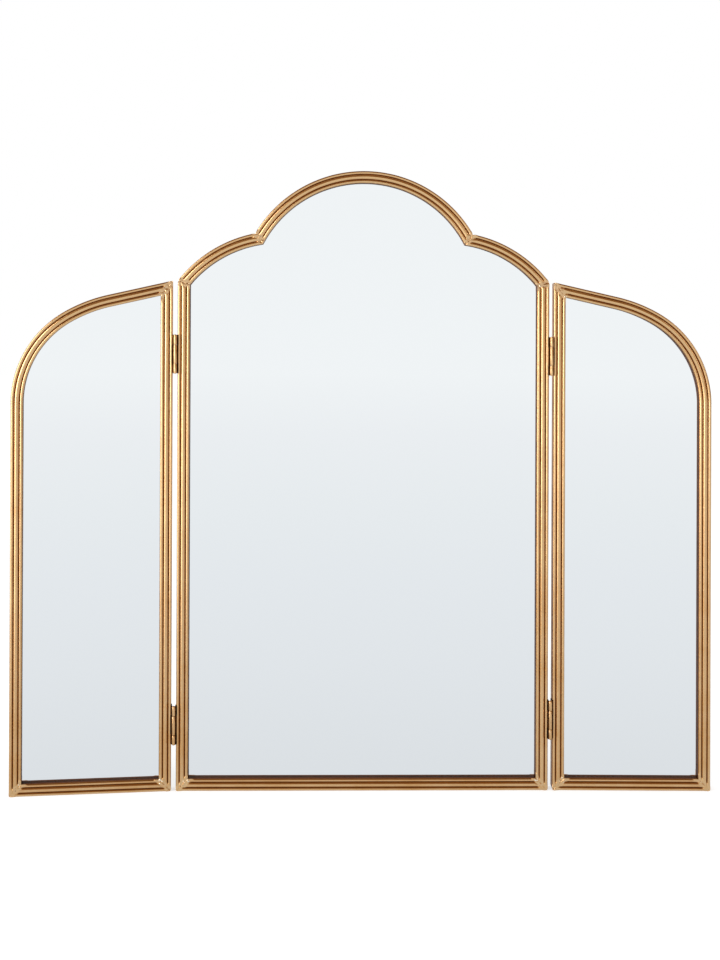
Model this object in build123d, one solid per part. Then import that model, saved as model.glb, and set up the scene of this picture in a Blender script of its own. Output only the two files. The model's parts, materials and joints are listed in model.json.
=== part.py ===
from build123d import *
import os
from math import acos, atan2, cos, degrees, hypot, radians, sin, sqrt, tan

# Trifold table mirror: a centre panel with an arched top and two hinged wings, each a frame of reeded
# metal moulding round a pane of mirror glass and a backing board.
# Millimetres and degrees. X is to the right, Y is away from the viewer, Z is up.
# The origin is under the middle of the centre panel, halfway through its thickness.

# Moulding: a reeded channel, sized in section from its outer edge inwards and from its front back
face_width = 12.0
bead_width = 3.2
bead_set_back = 0.5
groove_width = 0.4
groove_depth = 2.1
web_thickness = 1.0
wall_thickness = 1.2
lip_thickness = 1.2
glass_set_back = 8.5
back_recess = 1.0

# Outline of the centre panel
centre_width = 373.0
stile_height = 510.6
shoulder_rise = 47.8
shoulder_bulge = 8.3
arch_span = 218.8
arch_rise = 63.0

# Outline of a wing
wing_width = 158.9
wing_slope = 12.9
wing_slope_length = 66.0
wing_large_radius = 151.5
wing_turn = 30.0

# Glass, board and the tabs that hold them
glass_thickness = 3.0
board_thickness = 3.0
pane_edge_clearance = 0.9
tab_width = 8.0
tab_length = 8.0
tab_thickness = 0.5
tab_wall_clearance = 0.1
stile_tab_count = 3
arch_tab_count = 3
arch_tab_spread = 70.0

# Hinges, which fill the gap between the panels
hinge_gap = 4.4
hinge_length = 38.5
middle_knuckle_length = 18.6
knuckle_side_clearance = 0.6
knuckle_gap = 0.25
leaf_thickness = 0.9
leaf_depth = 10.0
leaf_swing_clearance = 0.3
pin_radius = 0.9
pin_fit_clearance = 0.02
pin_running_clearance = 0.05
pin_overhang = 0.4
hinge_axis_lead = 1.2
upper_hinge_drop = {"left": 73.5, "right": 74.5}
lower_hinge_rise = {"left": 66.0, "right": 71.0}

# Angle of each wing forward of flat, as it stands on the table
rest_angle = {"left": 7.0, "right": 1.5}

# Sizes that follow from the ones above
half_width = centre_width / 2
cusp_height = stile_height + shoulder_rise
pane_inset = wall_thickness + pane_edge_clearance
board_front = glass_set_back + glass_thickness
board_back = board_front + board_thickness
frame_depth = board_back + tab_thickness + back_recess
knuckle_radius = hinge_gap / 2 - knuckle_side_clearance
hinge_axis_depth = -frame_depth / 2 - hinge_axis_lead
overrun = 1.5 * face_width
cutter_size = 4 * face_width
back = Vector(0, 1, 0)


def point(place, depth=0.0):
    """A place (x, z) on a panel as a point in space, at a depth behind the foremost reed."""
    return (place[0], depth - frame_depth / 2, place[1])


def heading_at(angle):
    """Direction (x, z) of clockwise travel round a circle, where the radius leans by angle from upright."""
    return (cos(radians(angle)), -sin(radians(angle)))


def on_circle(centre, radius, angle):
    """Place on a circle, at an angle from upright, clockwise positive."""
    return (centre[0] + radius * sin(radians(angle)), centre[1] + radius * cos(radians(angle)))


def lean_of(centre, place):
    """Angle from upright of the radius from a centre to a place."""
    return degrees(atan2(place[0] - centre[0], place[1] - centre[1]))


def mirrored(place):
    """The same place on the other side of the panel's middle."""
    return (-place[0], place[1])


def bulged_circle(start, end, bulge):
    """Centre and radius of the clockwise arc from start to end that bulges outwards by bulge."""
    run = end[0] - start[0]
    climb = end[1] - start[1]
    half_chord = hypot(run, climb) / 2
    radius = (half_chord**2 + bulge**2) / (2 * bulge)
    reach = (radius - bulge) / (2 * half_chord)
    centre = ((start[0] + end[0]) / 2 + climb * reach, (start[1] + end[1]) / 2 - run * reach)
    return centre, radius


def circles_meet(centre_a, radius_a, centre_b, radius_b):
    """The right-hand or upper of the two places where two circles cross."""
    apart = hypot(centre_b[0] - centre_a[0], centre_b[1] - centre_a[1])
    opening = degrees(acos((radius_a**2 + apart**2 - radius_b**2) / (2 * radius_a * apart)))
    return on_circle(centre_a, radius_a, lean_of(centre_a, centre_b) - opening)


# Circles of the centre panel's outer edge, right-hand side
cusp = (arch_span / 2, cusp_height)
arch_centre, arch_radius = bulged_circle(mirrored(cusp), cusp, arch_rise)
shoulder_centre, shoulder_radius = bulged_circle(cusp, (half_width, stile_height), shoulder_bulge)


def cusp_at(inset):
    """Right-hand cusp of the centre outline drawn in by inset."""
    return circles_meet(arch_centre, arch_radius - inset, shoulder_centre, shoulder_radius - inset)


def shoulder_corner_at(inset):
    """Corner between the right-hand shoulder and stile of the centre outline drawn in by inset."""
    across = half_width - inset
    radius = shoulder_radius - inset
    climb = sqrt(radius**2 - (across - shoulder_centre[0]) ** 2)
    return (across, shoulder_centre[1] + climb)


def centre_foot_at(inset):
    """Bottom right corner of the centre outline drawn in by inset."""
    return (half_width - inset, inset)


# Circles of a right-hand wing's outer edge, from the hinge side's lower corner as its origin
slope_heading = heading_at(wing_slope)
slope_end = (wing_slope_length * slope_heading[0], stile_height + wing_slope_length * slope_heading[1])
large_centre = on_circle(slope_end, wing_large_radius, wing_slope + 180)
turn_place = on_circle(large_centre, wing_large_radius, wing_turn)
wing_small_radius = (wing_width - turn_place[0]) / (1 - sin(radians(wing_turn)))
small_centre = on_circle(turn_place, wing_small_radius, wing_turn + 180)


def wing_peak_at(inset):
    """Top corner of the wing at the hinge side, with the outline drawn in by inset."""
    drop = inset * tan(radians(wing_slope)) + inset / cos(radians(wing_slope))
    return (inset, stile_height - drop)


def wing_hinge_foot_at(inset):
    """Bottom corner of the wing at the hinge side, with the outline drawn in by inset."""
    return (inset, inset)


def wing_outer_foot_at(inset):
    """Bottom outer corner of the wing, with the outline drawn in by inset."""
    return (wing_width - inset, inset)


def reeded_section():
    """Section of the moulding: X runs inwards from the outer edge and Y runs back from the front."""
    bead_end = bead_width
    band_start = bead_end + groove_width
    band_end = face_width - band_start
    inner_bead_start = face_width - bead_width
    web_back = groove_depth + web_thickness
    reeds = (
        ThreePointArc((0, groove_depth), (bead_width / 2, bead_set_back), (bead_end, groove_depth))
        + Line((bead_end, groove_depth), (band_start, groove_depth))
        + ThreePointArc((band_start, groove_depth), (face_width / 2, 0), (band_end, groove_depth))
        + Line((band_end, groove_depth), (inner_bead_start, groove_depth))
        + ThreePointArc(
            (inner_bead_start, groove_depth),
            (face_width - bead_width / 2, bead_set_back),
            (face_width, groove_depth),
        )
    )
    inside = Polyline(
        (face_width, groove_depth),
        (face_width, glass_set_back),
        (face_width - lip_thickness, glass_set_back),
        (face_width - lip_thickness, web_back),
        (wall_thickness, web_back),
        (wall_thickness, frame_depth),
        (0, frame_depth),
        (0, groove_depth),
    )
    return make_face(reeds + inside)


section = reeded_section()


def section_plane(place, heading):
    """Plane across the moulding at a place on its outer edge, where clockwise travel has this heading."""
    inwards = (heading[1], 0, -heading[0])
    return Plane(origin=point(place), x_dir=inwards, z_dir=(heading[0], 0, heading[1]))


def straight_length(start, end, extra_start=0.0, extra_end=0.0):
    """Moulding along a straight outer edge, clockwise, run on past its ends by the extra lengths."""
    length = hypot(end[0] - start[0], end[1] - start[1])
    heading = ((end[0] - start[0]) / length, (end[1] - start[1]) / length)
    origin = (start[0] - extra_start * heading[0], start[1] - extra_start * heading[1])
    plane = section_plane(origin, heading)
    return extrude(plane * section, amount=length + extra_start + extra_end, dir=plane.z_dir)


def bent_length(centre, radius, start, end, extra_start=0.0, extra_end=0.0):
    """Moulding round a clockwise outer arc from lean start to lean end, run on by the extra lengths."""
    first = start - degrees(extra_start / radius)
    last = end + degrees(extra_end / radius)
    plane = section_plane(on_circle(centre, radius, first), heading_at(first))
    return revolve(plane * section, Axis(point(centre), (0, 1, 0)), revolution_arc=last - first)


def mitre_cutter(outer, inner, away):
    """Block on one side of a mitre through an outer and an inner corner, on the side that away points to."""
    run = inner[0] - outer[0]
    climb = inner[1] - outer[1]
    normal = (climb, -run)
    if normal[0] * away[0] + normal[1] * away[1] < 0:
        normal = (-climb, run)
    plane = Plane(origin=point(outer), x_dir=(run, 0, climb), z_dir=(normal[0], 0, normal[1]))
    block = Box(cutter_size, cutter_size, cutter_size, align=(Align.CENTER, Align.CENTER, Align.MIN))
    return plane * block


def mitred(bar, corner_at, away, flipped=False):
    """A bar cut at one corner, whose place is given for any inset, on the side that away points to."""
    outer = corner_at(0)
    inner = corner_at(face_width)
    if flipped:
        outer = mirrored(outer)
        inner = mirrored(inner)
    return bar - mitre_cutter(outer, inner, away)


def other_side(shape):
    """The mirror image of a shape, on the other side of the panel's middle."""
    return mirror(shape, about=Plane.YZ)


def centre_bottom_rail():
    """Straight bottom length of the centre frame, mitred at both feet."""
    right_foot = centre_foot_at(0)
    rail = straight_length(right_foot, mirrored(right_foot), overrun, overrun)
    rail = mitred(rail, centre_foot_at, (1, 1))
    return mitred(rail, centre_foot_at, (-1, 1), flipped=True)


def centre_right_stile():
    """Upright length of the centre frame, from the foot to the shoulder."""
    stile = straight_length(shoulder_corner_at(0), centre_foot_at(0), overrun, overrun)
    stile = mitred(stile, shoulder_corner_at, (0, 1))
    return mitred(stile, centre_foot_at, (-1, -1))


def centre_right_shoulder():
    """Bent length between the right-hand cusp and stile."""
    start = lean_of(shoulder_centre, cusp_at(0))
    end = lean_of(shoulder_centre, shoulder_corner_at(0))
    shoulder = bent_length(shoulder_centre, shoulder_radius, start, end, overrun, overrun)
    shoulder = mitred(shoulder, cusp_at, (-1, 0))
    return mitred(shoulder, shoulder_corner_at, (1, -1))


def centre_arch():
    """Bent length over the top of the centre panel, between the two cusps."""
    end = lean_of(arch_centre, cusp_at(0))
    arch = bent_length(arch_centre, arch_radius, -end, end, overrun, overrun)
    arch = mitred(arch, cusp_at, (1, -1))
    return mitred(arch, cusp_at, (-1, -1), flipped=True)


def arc_edge(centre, start, end, depth):
    """Clockwise arc from start to end about a centre, at a depth."""
    radius = hypot(start[0] - centre[0], start[1] - centre[1])
    middle_lean = (lean_of(centre, start) + lean_of(centre, end)) / 2
    middle = on_circle(centre, radius, middle_lean)
    return ThreePointArc(point(start, depth), point(middle, depth), point(end, depth))


def centre_sheet(front, thickness):
    """Flat sheet to the centre panel's outline, inside its frame."""
    foot = centre_foot_at(pane_inset)
    corner = shoulder_corner_at(pane_inset)
    notch = cusp_at(pane_inset)
    shoulder_left = mirrored(shoulder_centre)
    outline = (
        Line(point(foot, front), point(mirrored(foot), front))
        + Line(point(mirrored(foot), front), point(mirrored(corner), front))
        + arc_edge(shoulder_left, mirrored(corner), mirrored(notch), front)
        + arc_edge(arch_centre, mirrored(notch), notch, front)
        + arc_edge(shoulder_centre, notch, corner, front)
        + Line(point(corner, front), point(foot, front))
    )
    return extrude(make_face(outline), amount=thickness, dir=back)


def wing_sheet(front, thickness):
    """Flat sheet to the wing's outline, inside its frame."""
    hinge_foot = wing_hinge_foot_at(pane_inset)
    peak = wing_peak_at(pane_inset)
    outer_foot = wing_outer_foot_at(pane_inset)
    slope_stop = on_circle(large_centre, wing_large_radius - pane_inset, wing_slope)
    turn = on_circle(large_centre, wing_large_radius - pane_inset, wing_turn)
    stile_top = on_circle(small_centre, wing_small_radius - pane_inset, 90)
    outline = (
        Line(point(hinge_foot, front), point(peak, front))
        + Line(point(peak, front), point(slope_stop, front))
        + arc_edge(large_centre, slope_stop, turn, front)
        + arc_edge(small_centre, turn, stile_top, front)
        + Line(point(stile_top, front), point(outer_foot, front))
        + Line(point(outer_foot, front), point(hinge_foot, front))
    )
    return extrude(make_face(outline), amount=thickness, dir=back)


def wing_bottom_rail():
    """Straight bottom length of a wing frame, mitred at both feet."""
    rail = straight_length(wing_outer_foot_at(0), wing_hinge_foot_at(0), overrun, overrun)
    rail = mitred(rail, wing_outer_foot_at, (1, 1))
    return mitred(rail, wing_hinge_foot_at, (-1, 1))


def wing_hinge_stile():
    """Upright length of a wing frame on the hinge side."""
    stile = straight_length(wing_hinge_foot_at(0), wing_peak_at(0), overrun, overrun)
    stile = mitred(stile, wing_hinge_foot_at, (1, -1))
    return mitred(stile, wing_peak_at, (0, 1))


def wing_outer_rail():
    """Sloping top, curve and outer stile of a wing, bent from one length of moulding."""
    stile_top = on_circle(small_centre, wing_small_radius, 90)
    rail = (
        straight_length(wing_peak_at(0), slope_end, extra_start=overrun)
        + bent_length(large_centre, wing_large_radius, wing_slope, wing_turn)
        + bent_length(small_centre, wing_small_radius, wing_turn, 90)
        + straight_length(stile_top, wing_outer_foot_at(0), extra_end=overrun)
    )
    rail = mitred(rail, wing_peak_at, (-1, 0))
    return mitred(rail, wing_outer_foot_at, (-1, -1))


def retaining_tab(place, heading):
    """Strip with its leg inside the outer wall and its foot folded over the board."""
    leg_start = wall_thickness + tab_wall_clearance
    low_corner = (Align.MIN, Align.MIN, Align.CENTER)
    leg = Pos(leg_start, glass_set_back) * Box(
        tab_thickness, board_back + tab_thickness - glass_set_back, tab_width, align=low_corner
    )
    foot = Pos(leg_start, board_back) * Box(tab_length, tab_thickness, tab_width, align=low_corner)
    return section_plane(place, heading) * (leg + foot)


def spaced(start, end, count):
    """Evenly spaced places along a straight edge, half a space in from its ends."""
    shares = [(index + 0.5) / count for index in range(count)]
    return [(start[0] + (end[0] - start[0]) * share, start[1] + (end[1] - start[1]) * share) for share in shares]


def tabs_along(start, end, count):
    """Retaining tabs along a straight clockwise edge."""
    length = hypot(end[0] - start[0], end[1] - start[1])
    heading = ((end[0] - start[0]) / length, (end[1] - start[1]) / length)
    return [retaining_tab(place, heading) for place in spaced(start, end, count)]


def tab_on_arc(centre, radius, lean):
    """Retaining tab at one lean on a clockwise arc."""
    return retaining_tab(on_circle(centre, radius, lean), heading_at(lean))


def centre_retaining_tabs():
    """All tabs of the centre panel: stiles, bottom rail, shoulders and arch."""
    foot = centre_foot_at(0)
    corner = shoulder_corner_at(0)
    shoulder_lean = (lean_of(shoulder_centre, cusp_at(0)) + lean_of(shoulder_centre, corner)) / 2
    right_side = tabs_along(corner, foot, stile_tab_count)
    right_side.append(tab_on_arc(shoulder_centre, shoulder_radius, shoulder_lean))
    left_side = [other_side(tab) for tab in right_side]
    bottom = tabs_along(foot, mirrored(foot), stile_tab_count)
    step = arch_tab_spread / (arch_tab_count - 1)
    leans = [index * step - arch_tab_spread / 2 for index in range(arch_tab_count)]
    top = [tab_on_arc(arch_centre, arch_radius, lean) for lean in leans]
    return Compound(children=right_side + left_side + bottom + top)


def wing_retaining_tabs():
    """All tabs of a wing: both stiles, bottom rail, slope and curve."""
    stile_top = on_circle(small_centre, wing_small_radius, 90)
    tabs = tabs_along(wing_hinge_foot_at(0), wing_peak_at(0), stile_tab_count)
    tabs += tabs_along(stile_top, wing_outer_foot_at(0), stile_tab_count - 1)
    tabs += tabs_along(wing_outer_foot_at(0), wing_hinge_foot_at(0), 1)
    tabs += tabs_along(wing_peak_at(0), slope_end, 1)
    tabs.append(tab_on_arc(small_centre, wing_small_radius, (wing_turn + 90) / 2))
    return Compound(children=tabs)


def knuckle(low, high, bore_radius):
    """Tube round the hinge axis between two heights from the hinge's middle."""
    tube = Cylinder(knuckle_radius, high - low) - Cylinder(bore_radius, high - low)
    return Pos(0, 0, (low + high) / 2) * tube


def leaf_plate(front, depth, low, high):
    """Part of a leaf against the face on the positive side of the hinge gap."""
    plate = Box(leaf_thickness, depth, high - low, align=(Align.MAX, Align.MIN, Align.MIN))
    return Pos(hinge_gap / 2, front, low) * plate


def hinge_leaf(knuckle_spans, bore_radius):
    """Leaf on the positive side of the hinge axis, with a knuckle and a strap for each span."""
    plate_front = knuckle_radius + leaf_swing_clearance
    leaf = leaf_plate(plate_front, leaf_depth, -hinge_length / 2, hinge_length / 2)
    for low, high in knuckle_spans:
        strap = leaf_plate(0, plate_front, low, high) - Pos(0, 0, (low + high) / 2) * Cylinder(
            (knuckle_radius + bore_radius) / 2, high - low
        )
        leaf = leaf + strap + knuckle(low, high, bore_radius)
    return leaf


def wing_leaf():
    """Leaf of the wing, with the middle knuckle, which turns on the pin."""
    half = middle_knuckle_length / 2
    return hinge_leaf([(-half, half)], pin_radius + pin_running_clearance)


def frame_leaf():
    """Leaf of the centre frame, with the two end knuckles, which grip the pin."""
    inner = middle_knuckle_length / 2 + knuckle_gap
    outer = hinge_length / 2
    return other_side(hinge_leaf([(-outer, -inner), (inner, outer)], pin_radius + pin_fit_clearance))


def hinge_pin():
    """Pin through the three knuckles, a little proud at both ends."""
    pin = Cylinder(pin_radius, hinge_length + 2 * pin_overhang)
    return chamfer(pin.edges(), pin_overhang / 2)


def at_hinge_axis(shape, angle):
    """A right-hand shape about the hinge axis, swung forward by an angle and set in its place."""
    return Pos(half_width + hinge_gap / 2, hinge_axis_depth) * Rot(0, 0, -angle) * shape


def on_side(shape, side):
    """A right-hand shape, taken to the named side."""
    return other_side(shape) if side == "left" else shape


def wing_node(shape, side):
    """A wing's piece, swung to its rest angle on the named side."""
    from_axis = Pos(hinge_gap / 2, -hinge_axis_depth) * shape
    return on_side(at_hinge_axis(from_axis, rest_angle[side]), side)


def hinge_nodes(side, level, height):
    """The leaves and pin of one hinge."""
    lift = Pos(0, 0, height)
    return {
        f"{side}_{level}_hinge_frame_leaf": on_side(at_hinge_axis(lift * frame_leaf(), 0), side),
        f"{side}_{level}_hinge_wing_leaf": on_side(at_hinge_axis(lift * wing_leaf(), rest_angle[side]), side),
        f"{side}_{level}_hinge_pin": on_side(at_hinge_axis(lift * hinge_pin(), 0), side),
    }


def centre_nodes():
    """Every piece of the centre panel."""
    right_stile = centre_right_stile()
    right_shoulder = centre_right_shoulder()
    return {
        "centre_bottom_rail": centre_bottom_rail(),
        "centre_left_stile": other_side(right_stile),
        "centre_right_stile": right_stile,
        "centre_left_shoulder": other_side(right_shoulder),
        "centre_right_shoulder": right_shoulder,
        "centre_arch": centre_arch(),
        "centre_mirror_glass": centre_sheet(glass_set_back, glass_thickness),
        "centre_backing_board": centre_sheet(board_front, board_thickness),
        "centre_retaining_tabs": centre_retaining_tabs(),
    }


def wing_nodes(side):
    """Every piece of one wing."""
    pieces = {
        "bottom_rail": wing_bottom_rail(),
        "hinge_stile": wing_hinge_stile(),
        "outer_rail": wing_outer_rail(),
        "mirror_glass": wing_sheet(glass_set_back, glass_thickness),
        "backing_board": wing_sheet(board_front, board_thickness),
        "retaining_tabs": wing_retaining_tabs(),
    }
    return {f"{side}_wing_{name}": wing_node(shape, side) for name, shape in pieces.items()}


def all_nodes():
    """Every piece of the mirror, by name, in its place at rest."""
    nodes = centre_nodes()
    for side in ("left", "right"):
        nodes.update(wing_nodes(side))
        nodes.update(hinge_nodes(side, "upper", stile_height - upper_hinge_drop[side]))
        nodes.update(hinge_nodes(side, "lower", lower_hinge_rise[side]))
    return nodes


os.makedirs("parts", exist_ok=True)
for name, shape in all_nodes().items():
    export_step(shape, f"parts/{name}.step")
print("arch radius", round(arch_radius, 2), "shoulder radius", round(shoulder_radius, 2))
print("wing small radius", round(wing_small_radius, 2), "outer stile top", round(small_centre[1], 2))
print("hinge axes at x", round(half_width + hinge_gap / 2, 3), "y", hinge_axis_depth)
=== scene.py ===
import json
import logging
import math
import random
from collections.abc import Callable
from dataclasses import dataclass, field
from enum import Enum

import bmesh
import bpy
from mathutils import Matrix, Vector, noise


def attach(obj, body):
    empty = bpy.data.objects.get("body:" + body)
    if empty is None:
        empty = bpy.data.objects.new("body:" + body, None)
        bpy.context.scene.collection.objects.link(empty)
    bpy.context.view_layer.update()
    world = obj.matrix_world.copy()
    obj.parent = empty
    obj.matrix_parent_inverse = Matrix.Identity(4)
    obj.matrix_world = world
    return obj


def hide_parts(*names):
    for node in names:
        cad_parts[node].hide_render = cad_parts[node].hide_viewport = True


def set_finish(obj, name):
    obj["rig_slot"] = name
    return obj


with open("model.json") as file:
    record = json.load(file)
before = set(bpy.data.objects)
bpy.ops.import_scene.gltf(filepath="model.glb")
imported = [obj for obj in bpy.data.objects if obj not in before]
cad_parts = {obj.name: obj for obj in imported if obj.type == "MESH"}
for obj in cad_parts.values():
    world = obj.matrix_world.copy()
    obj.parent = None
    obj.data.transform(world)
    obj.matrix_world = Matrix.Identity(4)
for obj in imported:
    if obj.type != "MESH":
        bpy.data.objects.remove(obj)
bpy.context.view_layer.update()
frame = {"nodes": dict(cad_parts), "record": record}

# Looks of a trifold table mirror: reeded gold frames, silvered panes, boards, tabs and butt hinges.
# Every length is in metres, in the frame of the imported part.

LOG = logging.getLogger("trifold_mirror")
MM = 0.001
WHITE = (1.0, 1.0, 1.0, 1.0)
SAME_PLACE = Matrix.Identity(4)
TURNED_OVER = Matrix.Diagonal((-1.0, 1.0, 1.0, 1.0))


class Side(Enum):
    """The two wings."""

    LEFT = "left"
    RIGHT = "right"

    @property
    def sign(self) -> int:
        """Minus one on the left, one on the right."""
        return -1 if self is Side.LEFT else 1


class Signal:
    """A shader socket on which arithmetic can be written."""

    def __init__(self, recipe: "Recipe", socket: bpy.types.NodeSocket) -> None:
        """Wrap an output socket.

        Args:
            recipe: The recipe that owns the socket.
            socket: The output socket.
        """
        self.recipe = recipe
        self.socket = socket

    def _math(self, operation: str, first: "Signal | float", second: "Signal | float") -> "Signal":
        """Add one Math node of an operation on two signals or numbers."""
        return self.recipe.node("ShaderNodeMath", {"operation": operation}, {0: first, 1: second})

    def __add__(self, other: "Signal | float") -> "Signal":
        """Sum with a signal or number."""
        return self._math("ADD", self, other)

    def __radd__(self, other: float) -> "Signal":
        """Sum with a number on the left."""
        return self._math("ADD", other, self)

    def __sub__(self, other: "Signal | float") -> "Signal":
        """Difference with a signal or number."""
        return self._math("SUBTRACT", self, other)

    def __rsub__(self, other: float) -> "Signal":
        """Difference with a number on the left."""
        return self._math("SUBTRACT", other, self)

    def __mul__(self, other: "Signal | float") -> "Signal":
        """Product with a signal or number."""
        return self._math("MULTIPLY", self, other)

    def __rmul__(self, other: float) -> "Signal":
        """Product with a number on the left."""
        return self._math("MULTIPLY", other, self)

    def __truediv__(self, other: "Signal | float") -> "Signal":
        """Quotient by a signal or number."""
        return self._math("DIVIDE", self, other)

    def __neg__(self) -> "Signal":
        """The signal with its sign changed."""
        return self._math("MULTIPLY", self, -1.0)

    def __abs__(self) -> "Signal":
        """The signal without its sign."""
        return self._math("ABSOLUTE", self, 0.0)

    def at_least(self, least: float) -> "Signal":
        """The signal, or a least value where it is lower."""
        return self._math("MAXIMUM", self, least)

    def bearing(self, ahead: "Signal") -> "Signal":
        """Angle from straight ahead of a place this far across."""
        return self._math("ARCTAN2", self, ahead)

    def clamped(self) -> "Signal":
        """The signal held between 0 and 1."""
        return self.recipe.node("ShaderNodeClamp", {}, {"Value": self})

    def sibling(self, output: str) -> "Signal":
        """Another output of the same node."""
        return Signal(self.recipe, self.socket.node.outputs[output])


class Recipe:
    """Builds one node tree for a material or the world."""

    def __init__(self, tree: bpy.types.NodeTree) -> None:
        """Clear a tree, ready for new nodes.

        Args:
            tree: The tree to fill.
        """
        self.tree = tree
        tree.nodes.clear()

    @classmethod
    def material(cls, name: str) -> tuple["Recipe", bpy.types.Material]:
        """Start a new material.

        Args:
            name: The material's name.

        Returns:
            The recipe and its material.
        """
        material = bpy.data.materials.new(name)
        material.use_nodes = True
        return cls(material.node_tree), material

    def node(self, kind: str, settings: dict, inputs: dict, output: int | str = 0) -> Signal:
        """Add any node.

        Args:
            kind: The node's type.
            settings: Attributes set before the inputs.
            inputs: Values or signals by input name or index.
            output: The output to wrap.

        Returns:
            The chosen output as a signal.
        """
        made = self.tree.nodes.new(kind)
        for key, value in settings.items():
            setattr(made, key, value)
        for key, value in inputs.items():
            if isinstance(value, Signal):
                self.tree.links.new(value.socket, made.inputs[key])
            else:
                made.inputs[key].default_value = value
        return Signal(self, made.outputs[output])

    def ramp(self, share: Signal, stops: tuple) -> Signal:
        """Colour read off a ramp.

        Args:
            share: Where on the ramp, from 0 to 1.
            stops: Rows of place, red, green and blue, in 8-bit display values.

        Returns:
            The colour.
        """
        made = self.node("ShaderNodeValToRGB", {}, {"Fac": share})
        elements = made.socket.node.color_ramp.elements
        elements.remove(elements[-1])
        for row, (place, *colour) in enumerate(stops):
            element = elements.new(place) if row else elements[0]
            element.position = place
            element.color = rgba(*colour)
        return made

    def place(self, scale: tuple = (1.0, 1.0, 1.0)) -> Signal:
        """Object coordinates, stretched by a scale on each axis."""
        where = self.node("ShaderNodeTexCoord", {}, {}, "Object")
        return self.node("ShaderNodeMapping", {}, {"Vector": where, "Scale": scale})

    def axis(self, where: Signal, name: str) -> Signal:
        """One axis of a place or direction."""
        return self.node("ShaderNodeSeparateXYZ", {}, {"Vector": where}, name)

    def noise(self, where: Signal, scale: float, detail: float = 4.0, roughness: float = 0.5) -> Signal:
        """Fractal noise from 0 to 1 at a number of cells a metre."""
        inputs = {"Vector": where, "Scale": scale, "Detail": detail, "Roughness": roughness}
        return self.node("ShaderNodeTexNoise", {"noise_dimensions": "3D"}, inputs)

    def attribute(self, name: str) -> Signal:
        """A number stored on the mesh's vertices."""
        return self.node("ShaderNodeAttribute", {"attribute_name": name}, {}, "Fac")

    def blend(self, share: Signal, first: Signal | tuple, second: Signal | tuple) -> Signal:
        """Colour between two colours, for a share from 0 to 1."""
        settings = {"data_type": "RGBA", "clamp_factor": True}
        return self.node("ShaderNodeMix", settings, {0: share, 6: first, 7: second}, 2)

    def spread(
        self, value: Signal, low: float, high: float, to_low: float = 0.0, to_high: float = 1.0
    ) -> Signal:
        """Stretch a signal from one range to another, held at the ends."""
        inputs = {"Value": value, "From Min": low, "From Max": high, "To Min": to_low, "To Max": to_high}
        return self.node("ShaderNodeMapRange", {"clamp": True}, inputs)

    def relief(self, height: Signal, strength: float, depth: float) -> Signal:
        """Surface normal tilted by a height signal."""
        return self.node("ShaderNodeBump", {}, {"Strength": strength, "Distance": depth, "Height": height})

    def glow(self, colour: Signal | tuple, strength: float = 1.0) -> Signal:
        """Light given off evenly in one colour."""
        return self.node("ShaderNodeEmission", {}, {"Color": colour, "Strength": strength})

    def ray(self, kind: str) -> Signal:
        """One where the surface or world is met by a kind of ray, else zero."""
        return self.node("ShaderNodeLightPath", {}, {}, kind)

    def finish(self, shader: Signal, target: str = "ShaderNodeOutputMaterial") -> None:
        """Join a shader to the tree's output."""
        output = self.tree.nodes.new(target)
        self.tree.links.new(shader.socket, output.inputs["Surface"])


def rgba(red: float, green: float, blue: float) -> tuple:
    """Linear colour from display values.

    Args:
        red: Red, from 0 to 255.
        green: Green, from 0 to 255.
        blue: Blue, from 0 to 255.

    Returns:
        The linear colour, opaque.
    """
    shares = [value / 255.0 for value in (red, green, blue)]
    linear = [share / 12.92 if share <= 0.04045 else ((share + 0.055) / 1.055) ** 2.4 for share in shares]
    return (*linear, 1.0)


@dataclass(frozen=True)
class Finish:
    """A surface finish; each kind says what its shader takes."""

    name: str = "plain"

    def inputs(self, recipe: Recipe) -> dict:
        """Shader inputs by name; a plain finish sets none."""
        return {}

    def build(self) -> bpy.types.Material:
        """Make the material.

        Returns:
            The new material.
        """
        recipe, material = Recipe.material(self.name)
        recipe.finish(recipe.node("ShaderNodeBsdfPrincipled", {}, self.inputs(recipe)))
        return material


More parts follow.
